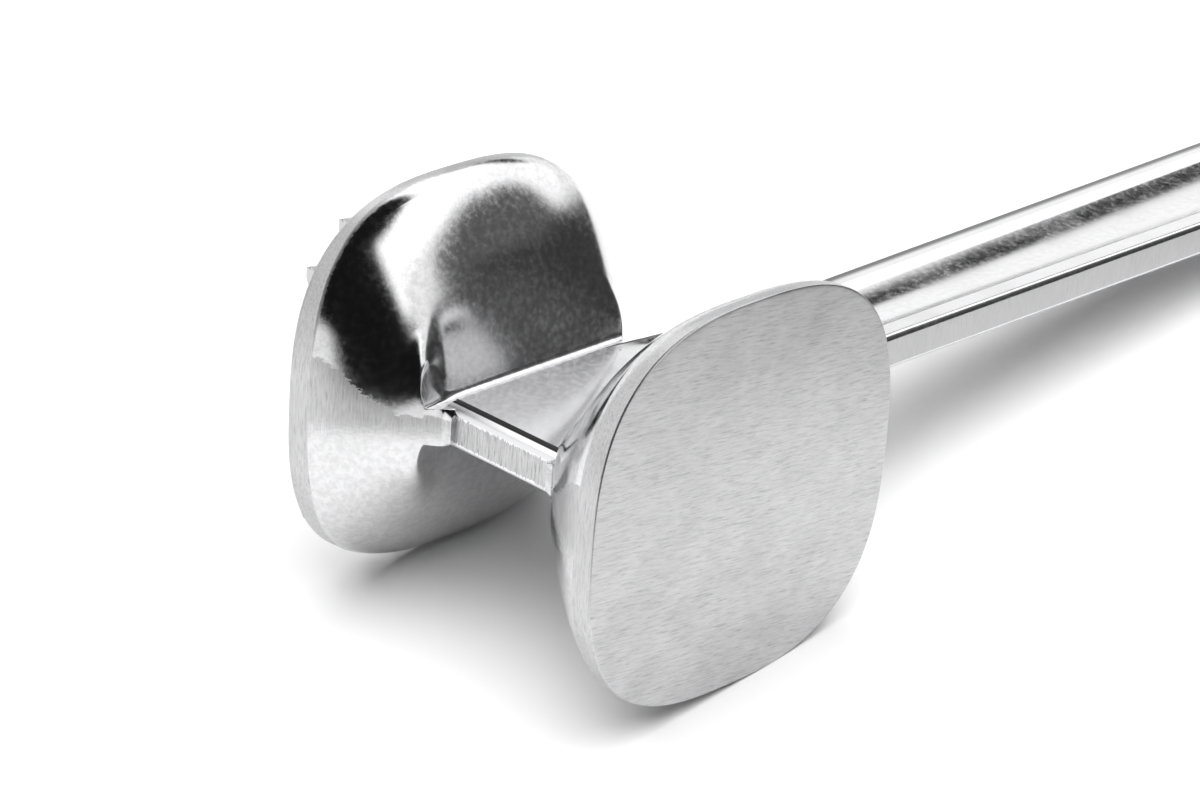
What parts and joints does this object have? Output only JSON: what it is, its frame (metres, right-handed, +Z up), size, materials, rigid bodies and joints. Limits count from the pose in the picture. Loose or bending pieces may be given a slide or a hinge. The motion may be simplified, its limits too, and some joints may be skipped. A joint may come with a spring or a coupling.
{
  "type": "meat mallet",
  "caption": "Cast-aluminium double-faced meat mallet: a smooth face and a toothed face on two domed heads, on an I-section bar handle with a hanging eye.",
  "frame": {"origin": "centre of the underside of the bounding box, on the table that the tool lies on, resting on both head rims and the tip of the handle", "axes": "+X from the heads to the hanging eye, level with the table, so the bar slopes 7.2 degrees down towards +X; -Y out of the smooth face; +Y out of the toothed face; +Z up"},
  "size_m": [0.2396, 0.0626, 0.0583],
  "materials": {
    "cast_aluminium": "tumbled and polished casting, bright with a fine speckled grain",
    "ground_aluminium": "belt-ground satin with fine strokes"
  },
  "bodies": {
    "root": {"smooth_face": "ground_aluminium", "smooth_head_dome": "cast_aluminium", "toothed_face": "cast_aluminium", "toothed_head_dome": "cast_aluminium", "front_edge": "ground_aluminium", "handle_web": "cast_aluminium", "left_rail": "cast_aluminium", "right_rail": "cast_aluminium", "hanging_eye": "cast_aluminium"}
  },
  "joints": []
}
